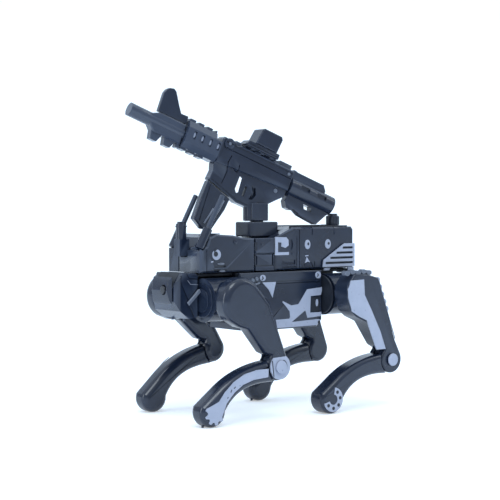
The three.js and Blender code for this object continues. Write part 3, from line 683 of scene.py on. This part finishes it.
def rear_thigh_outline():
    """The angular thigh of the left rear leg."""
    points = [(4.0, 6.7), (-1.6, 6.7), (-6.2, 5.5), (-9.6, -3.2), (-13.9, -14.4)]
    points += circle(KNEE, KNEE_R, 36, 152 * DEG, 412 * DEG)
    points += [(-7.3, -16.0), (-4.9, -12.8), (-1.6, -8.4), (2.8, -6.7)]
    points += [(5.4, -4.5), (7.0, -0.2), (6.8, 3.2)]
    return points


def standing_bend(swing):
    """How far the shank turns for its foot to rest on the ground."""
    depth = math.hypot(*KNEE) * math.cos(math.atan2(-KNEE[0], -KNEE[1]) + swing)
    return math.asin((HIP_Z - FOOT_R - depth) / math.hypot(*FOOT)) - math.atan2(-FOOT[1], FOOT[0])


def leg_places(pose):
    """Where the hip, the thigh and the shank of a leg stand."""
    hip = Matrix.Scale(pose["side"], 4, (0, 1, 0)) @ Matrix.Translation((pose["end"] * HIP_X, 0, HIP_Z))
    thigh = hip @ Matrix.Rotation(pose["swing"], 4, "Y")
    shank = (thigh @ Matrix.Translation((KNEE[0], 0, KNEE[1]))
             @ Matrix.Rotation(standing_bend(pose["swing"]) - pose["swing"], 4, "Y"))
    return hip, thigh, shank


def knee_slot():
    """Cutters for the fork in the thigh that takes the shank's tongue."""
    gap = 2 * TONGUE_HALF + 2 * GAP
    low, high = LEG_MIDDLE - gap / 2, LEG_MIDDLE + gap / 2
    return [bar("y", low, high, KNEE_R + 1.3, KNEE), box(-20, 20, low, high, -40, KNEE[1])]


def thigh(leg, place, rounding):
    """A thigh. The knee pin's bore is open on the outside and closed by a thin skin on the inside."""
    outline = rear_thigh_outline() if leg == "rear_left" else thigh_outline()
    base = rounded_prism(outline, LEG_INNER, LEG_OUTER, rounding)
    pin_bore = bar("y", LEG_INNER + KNEE_SKIN, LEG_OUTER + 1, PIN_BORE_R, KNEE)
    hip_bore = bar("y", LEG_INNER - 1, LEG_INNER + 4, HIP_BORE_R, (0, 0))
    mesh = joined(base, (), [*knee_slot(), pin_bore, hip_bore])
    piece("thigh_%s_shell" % leg, mesh, BLACK, leg + "_thigh", ("thigh_" + leg,), place)


def shank(leg, place, rounding):
    """A shank with its foot. Its tongue turns on the knee pin, and both of its sides clear the fork."""
    arm = rounded_prism(shank_outline(), LEG_INNER, LEG_OUTER, rounding)
    clear = [bar("y", low, high, KNEE_R + GAP + 0.1, (0, 0)) for low, high in (
        (LEG_MIDDLE + TONGUE_HALF, LEG_OUTER + 1), (LEG_INNER - 1, LEG_MIDDLE - TONGUE_HALF))]
    tongue = bar("y", LEG_MIDDLE - TONGUE_HALF, LEG_MIDDLE + TONGUE_HALF, KNEE_R - GAP, (0, 0))
    pin_bore = bar("y", LEG_INNER - 1, LEG_OUTER + 1, PIN_BORE_R, (0, 0))
    mesh = joined(joined(arm, (), clear), [tongue], [pin_bore])
    piece("shank_%s_shell" % leg, mesh, BLACK, leg + "_shank", ("shank_" + leg,), place)


def shank_rib(leg, place):
    """A fine rib along the front of a shank."""
    path = bezier((13.0, 0.2), (17.5, -1.6), (21.0, -4.2), (24.0, -8.0), 12)
    rib = prism(stroke(path, 0.22), LEG_OUTER - 0.25, LEG_OUTER + 0.05, 0.08, 1)
    piece("shank_ribs_" + leg, rib, PALE_AND_HIGHLIGHT, leg + "_shank", (), place)


def leg_print(outline, proud=PAINT):
    """A printed patch on the outer face of a leg."""
    return prism(outline, LEG_OUTER - PAINT_ROOT, LEG_OUTER + proud)


def band_outline():
    """The painted band along the front left shank, with a toothed end on the foot."""
    upper = [(4.6, 0.0), (9.0, 0.1), (13.6, -0.7), (17.6, -2.5), (21.0, -5.0), (23.4, -7.6)]
    teeth = []
    steps = 20
    for i in range(steps):
        angle = (30 - 190 * i / (steps - 1)) * DEG
        radius = 3.5 if i % 4 < 2 else 2.7
        teeth.append((FOOT[0] + radius * math.cos(angle), FOOT[1] - 0.2 + radius * math.sin(angle)))
    lower = [(20.6, -8.4), (17.6, -5.6), (14.4, -3.7), (10.4, -2.7), (4.8, -2.5)]
    return upper + teeth + lower


def front_left_paint(place_thigh, place_shank):
    specks = [((17.2, -3.9), (17.8, -4.4)), ((18.6, -4.6), (19.0, -5.4)), ((20.0, -6.6), (20.3, -7.0))]
    piece("shank_band_front_left", leg_print(band_outline()), GREY, "front_left_shank", (), place_shank)
    marks = [prism(stroke(speck, 0.28), LEG_OUTER, LEG_OUTER + 0.12) for speck in specks]
    piece("shank_specks_front_left", merged(*marks), DEEP, "front_left_shank", (), place_shank)
    disc = [(x + KNEE[0], z + KNEE[1]) for x, z in circle((0, 0), KNEE_R - 0.5, 40, 128 * DEG, 412 * DEG)]
    piece("knee_disc_front_left", leg_print(disc, 0.1), GREY, "front_left_thigh", (), place_thigh)
    arc = [(KNEE[0] - 0.5 + 1.9 * math.cos(a * DEG), KNEE[1] + 0.1 + 1.9 * math.sin(a * DEG))
           for a in range(110, 290, 12)]
    seam = [(KNEE[0] + 3.1, KNEE[1] + 2.2), (KNEE[0] + 2.7, KNEE[1] - 2.6)]
    lines = [prism(stroke(arc, 0.32), LEG_OUTER, LEG_OUTER + 0.16),
             prism(stroke(seam, 0.3), LEG_OUTER, LEG_OUTER + 0.16)]
    piece("knee_lines_front_left", merged(*lines), DEEP, "front_left_thigh", (), place_thigh)


def thigh_glints(leg, place):
    """Two fine lines sunk in the rounded rim at the upper front of a thigh, drawn paler as painted
    highlights.
    """
    lines = [prism(stroke(path, 0.32), LEG_OUTER - 1.9, LEG_OUTER - sunk, 0.1, 1)
             for path, sunk in (([(4.9, 4.3), (6.2, 1.6)], 0.75), ([(3.0, 4.3), (5.4, -0.6)], 0.05))]
    piece("thigh_lines_" + leg, merged(*lines), PALE_AND_HIGHLIGHT, leg + "_thigh", (), place)


def rear_left_paint(place_shank):
    """The band, teeth and chain on the rear left thigh, drawn where it stands, and the foot's horseshoe."""
    y = LEG_OUTER
    band = [(-18.2, 41.2), (-23.6, 41.4), (-23.9, 36.5), (-26.6, 32.0), (-30.6, 24.8), (-33.0, 18.9),
            (-29.1, 18.9), (-24.9, 28.4), (-21.4, 29.9), (-18.6, 31.6), (-17.0, 36.0), (-17.0, 38.6)]
    piece("thigh_band_rear_left", leg_print(band), GREY, "rear_left_thigh")
    teeth = [prism(ellipse((-30.3 - 0.93 * i, 41.0 - 2.35 * i), 0.95, 0.95, 12), y - 2.6, y - 0.6, 0.25, 2)
             for i in range(5)]
    piece("thigh_teeth_rear_left", merged(*teeth), GREY, "rear_left_thigh")
    link_places = [(-17.6 - i * 2.3, 43.4 + 0.35 * (i % 2)) for i in range(5)]
    links = [prism(ellipse(centre, 1.05, 0.8, 14), y - 2.8, y - 0.9, 0.2, 2) for centre in link_places]
    piece("thigh_chain_rear_left", merged(*links), PALE_AND_HIGHLIGHT, "rear_left_thigh")
    edge = prism(stroke([(-30.2, 40.6), (-33.0, 32.9), (-37.2, 21.9)], 0.25), y - 0.2, y + 0.06, 0.05, 1)
    piece("thigh_edge_rear_left", edge, PALE_AND_HIGHLIGHT, "rear_left_thigh")
    horseshoe = circle(FOOT, 3.8, 36, 100 * DEG, 345 * DEG) + circle(FOOT, 1.6, 30, 345 * DEG, 100 * DEG)
    piece("foot_paint_rear_left", leg_print(horseshoe), GREY, "rear_left_shank", (), place_shank)
    holes = [prism(circle((FOOT[0] + 2.7 * math.cos(a * DEG), FOOT[1] + 2.7 * math.sin(a * DEG)), 0.55, 16),
                   y, y + 0.14) for a in (125, 172, 222, 272, 322)]
    piece("foot_holes_rear_left", merged(*holes), DEEP, "rear_left_shank", (), place_shank)


def gate_nub(leg, place):
    """The little stub that the moulding gate leaves under the front of a foot."""
    foot = place @ Vector((FOOT[0], LEG_MIDDLE, FOOT[1]))
    nub = bar("z", 0.02, 1.4, 0.4, (foot.x + 2.2, foot.y), 0.1, 14)
    piece("gate_nub_" + leg, nub, BLACK, leg + "_shank")


def legs():
    for leg, pose in LEG_POSES.items():
        hip, thigh_place, shank_place = leg_places(pose)
        thigh(leg, thigh_place, THIGH_ROUNDING[leg])
        shank(leg, shank_place, SHANK_ROUNDING[leg])
        for node in ("knee_pin_", "hip_pin_"):
            painted_pin = node == "knee_pin_" and leg in ("front_left", "rear_left")
            softened(node + leg, 0.12, GREY if painted_pin else BLACK)
        hip_block(leg, pose, hip)
        if leg in ("front_right", "rear_right"):
            shank_rib(leg, shank_place)
        if leg == "front_left":
            thigh_glints(leg, thigh_place)
            front_left_paint(thigh_place, shank_place)
        if leg in ("front_left", "rear_right"):
            gate_nub(leg, shank_place)
        if leg == "rear_left":
            rear_left_paint(shank_place)


def hip_block(leg, pose, hip):
    """The drum, with stepped rings on the end away from the middle of the dog."""
    softened("hip_block_" + leg, 0.5, BLACK, 3)
    end = pose["end"]
    outer = end * 5.6
    rings = [bar("x", *sorted((outer - end * 0.3, outer + end * step)), radius, (ROLL_Y, 0), 0.15)
             for radius, step in ((5.2, 0.35), (3.6, 0.7))]
    piece("hip_rings_" + leg, joined(rings[0], [rings[1]]), BLACK, leg + "_hip", (), hip)


# ---------------------------------------------------------------- turret and launcher
LAUNCHER = (Matrix.Translation((TURRET_X, 0, 0)) @ Matrix.Rotation(TURRET_YAW, 4, "Z")
            @ Matrix.Translation((MUZZLE[0], 0, MUZZLE[1])) @ Matrix.Rotation(-LAUNCHER_PITCH, 4, "Y"))


def launcher_cuts(paths, half_width, depth=0.3):
    """Grooves along (u, w) paths on both faces of a launcher piece. Each path is (points, width)."""
    return [placed(on_side(stroke(points, width), side, half_width, 1.0, depth), LAUNCHER)
            for points, width in paths for side, _ in SIDES]


def slanted(outline, half):
    """A cutter through a launcher piece that follows the line of sight, so that light shows through."""
    sight = LAUNCHER.to_3x3().inverted() @ VIEW
    mesh = prism(outline, -half, half)
    for vert in mesh.verts:
        shift = vert.co.y - half
        vert.co.x += sight.x / sight.y * shift
        vert.co.z += sight.z / sight.y * shift
    return placed(mesh, LAUNCHER)


def launcher():
    """The dummy launcher, outer shape only. Its paths are in its own frame: along it, and up."""
    softened("launcher_barrel", 0.25, BLACK, 2)
    softened("launcher_front_sight", 0.3, BLACK, 3)
    softened("launcher_handguard", 0.25, BLACK, 2)
    inserts = [on_side(ellipse((u - 0.35, 0.9), 0.33, 0.85, 14), side, HANDGUARD_HALF, 0.12)
               for side, _ in SIDES for u in (-21.55, -24.45, -27.35, -30.25)]
    piece("handguard_inserts", merged(*inserts), GREY, "turret", (), LAUNCHER)
    rail_lines = [
        ([(-33, 1.9), (-58.6, 1.9)], 0.3),
        ([(-33, 3.6), (-58.6, 3.6)], 0.25),
    ]
    lower_lines = [
        ([(-36.4, 0.4), (-36.0, -2.2), (-37.0, -4.6), (-36.6, -8.8)], 0.3),
        ([(-33.0, -8.9), (-43.2, -11.6), (-50.0, -11.6)], 0.3),
        ([(-38.4, -3.0), (-40.4, -3.6), (-40.0, -1.2)], 0.3),
    ]
    slit = [(-41.6, -4.3), (-42.5, -4.6), (-42.9, -9.2), (-42.3, -9.6), (-41.5, -8.6)]
    hole = [(-46.6, -5.2), (-48.4, -5.6), (-49.3, -7.6), (-48.6, -9.4), (-47.2, -9.8), (-48.0, -7.4)]
    softened("launcher_receiver", 0.25, BLACK, 2, (), [
        *launcher_cuts(rail_lines, RAIL_HALF),
        *launcher_cuts(lower_lines, RECEIVER_HALF),
        slanted(slit, RECEIVER_HALF + 0.2),
        *[placed(on_side(hole, side, RECEIVER_HALF, 0.5, 1.2), LAUNCHER) for side, _ in SIDES],
    ])
    bolts = [bar("y", -half, half, radius, centre, 0.12, 18) for half, radius, centre in (
        (1.8, 0.65, (-55.2, -3.6)), (1.8, 0.45, (-39.6, -2.4)),
        (2.9, 0.5, (-34.2, 3.4)), (2.5, 0.5, (-57.4, 3.0)),
    )]
    piece("receiver_bolts", merged(*bolts), PALE_AND_HIGHLIGHT, "turret", (), LAUNCHER)
    softened("launcher_magazine", 0.3, BLACK, 2, (),
             launcher_cuts([([(-33.2, -10.6), (-33.4, -15.8), (-33.8, -22.4)], 0.35)], RECEIVER_HALF))
    filler = prism([(-52.0, 5.0), (-39.8, 5.0), (-40.2, 6.2), (-52.0, 6.2)], -1.35, 1.35, 0.1, 1)
    piece("optic_filler", filler, BLACK, "turret", (), LAUNCHER)
    ribs = [prism(stroke(path, 0.45), -1.85, 1.85, 0.15, 2) for path in (
        [(-39.4, -13.4), (-38.9, -17.0), (-37.6, -22.6)], [(-36.9, -17.0), (-36.4, -19.4), (-35.6, -22.6)])]
    piece("magazine_ribs", merged(*ribs), PALE_AND_HIGHLIGHT, "turret", (), LAUNCHER)
    softened("launcher_optic", 0.35, BLACK, 3, (),
             launcher_cuts([([(-41.0, 6.4), (-52.0, 6.4)], 0.3)], RAIL_HALF))
    stock_cuts = [([(-63.0, 0.9), (-66.4, 0.9)], 1.3), ([(-69.4, 0.9), (-73.0, 0.9)], 1.3)]
    softened("launcher_stock", 0.3, BLACK, 2, (), launcher_cuts(stock_cuts, STOCK_HALF, 0.8))


def turret():
    """The collar, its cross pin and the post, drawn as one solid from its neck, block and column."""
    softened("turret_collar", 0.35, BLACK, 3)
    softened("post_pin", 0.15, BLACK)
    turn = Matrix.Translation((TURRET_X, 0, 0)) @ Matrix.Rotation(TURRET_YAW, 4, "Z")
    block = box(-2.6, 3.3, -3.0, 3.0, 59.8, 65.4, 0.5, 3)
    column = bar("z", 59.8, 65.6, 2.6, (2.0, 0), 0.4)
    neck = bar("z", 55.6, 60.0, 2.1, (0, 0))
    piece("turret_post_shell", joined(block, [column, neck]), BLACK, "turret", ("turret_post",), turn)


belly()
for side, side_name in SIDES:
    torso_panel(side, side_name)
pack_front()
pack_middle()
pack_rear()
vents()
masts()
head()
legs()
turret()
launcher()


# ---------------------------------------------------------------- floor, light and camera
def backdrop():
    """A pale sheet that runs under the dog and curves up behind it, square to the view."""
    mesh = bmesh.new()
    # In metres: half its width, its near edge, where the curve starts, the curve's radius, and its top.
    half, near, start, radius, top = 4.0, 2.5, -1.1, 0.9, 3.0
    profile = [(near, 0.0), (0.4, 0.0), (-0.4, 0.0), (start, 0.0)]
    profile += [(start - radius * math.sin(i * 7.5 * DEG), radius - radius * math.cos(i * 7.5 * DEG))
                for i in range(1, 13)]
    profile.append((start - radius, top))
    turn = Matrix.Rotation(math.atan2(VIEW.y, VIEW.x), 4, "Z")
    rows = [[mesh.verts.new(turn @ Vector((along, across, height))) for across in (-half, half)]
            for along, height in profile]
    for lower, upper in zip(rows, rows[1:]):
        mesh.faces.new((lower[0], lower[1], upper[1], upper[0]))
    data = bpy.data.meshes.new("backdrop")
    mesh.to_mesh(data)
    mesh.free()
    data.shade_smooth()
    made = bpy.data.objects.new("backdrop", data)
    bpy.context.scene.collection.objects.link(made)
    material, tree, shader, coordinates = node_material("pale_paper")
    tint = noise(tree, coordinates, 3, 3)
    paper = mix_colours(tree, tint, (0.70, 0.80, 0.92), (0.72, 0.82, 0.93))
    tree.links.new(paper, shader.inputs["Base Color"])
    shader.inputs["Roughness"].default_value = 0.8
    shader.inputs["Specular IOR Level"].default_value = 0.1
    shader.inputs["Emission Color"].default_value = (1.0, 1.0, 0.98, 1)
    shader.inputs["Emission Strength"].default_value = 0.40
    data.materials.append(material)


def area_light(name, location, size, power):
    data = bpy.data.lights.new(name, "AREA")
    data.shape = "RECTANGLE"
    data.size, data.size_y = size
    data.energy = power
    data.color = LIGHT_COLOUR
    made = bpy.data.objects.new(name, data)
    bpy.context.scene.collection.objects.link(made)
    made.location = location
    made.rotation_mode = "QUATERNION"
    made.rotation_quaternion = (Vector(LIGHT_TARGET) - Vector(location)).to_track_quat("-Z", "Y")


def world():
    """A tent of white light, brighter overhead than at the sides."""
    made = bpy.data.worlds.new("studio")
    made.use_nodes = True
    tree = made.node_tree
    background = tree.nodes["Background"]
    direction = tree.nodes.new("ShaderNodeTexCoord")
    parts = tree.nodes.new("ShaderNodeSeparateXYZ")
    tree.links.new(direction.outputs["Generated"], parts.inputs["Vector"])
    background.inputs["Color"].default_value = (0.80, 0.90, 1.0, 1)
    tree.links.new(ramp(tree, parts.outputs["Z"], 0.55, 1.25, 0.0, 0.9), background.inputs["Strength"])
    bpy.context.scene.world = made


def camera():
    data = bpy.data.cameras.new("camera")
    data.sensor_width = SENSOR_WIDTH
    data.lens = FOCAL_LENGTH
    data.clip_start, data.clip_end = 0.01, 20
    made = bpy.data.objects.new("camera", data)
    bpy.context.scene.collection.objects.link(made)
    made.location = (ORIGIN + CAMERA) * MM
    made.rotation_mode = "QUATERNION"
    made.rotation_quaternion = (-VIEW).to_track_quat("-Z", "Y")
    bpy.context.scene.camera = made


backdrop()
world()
for light_name, (light_place, light_size, light_power) in LIGHTS.items():
    area_light(light_name, light_place, light_size, light_power)
camera()
bpy.context.scene.view_settings.view_transform = "Standard"
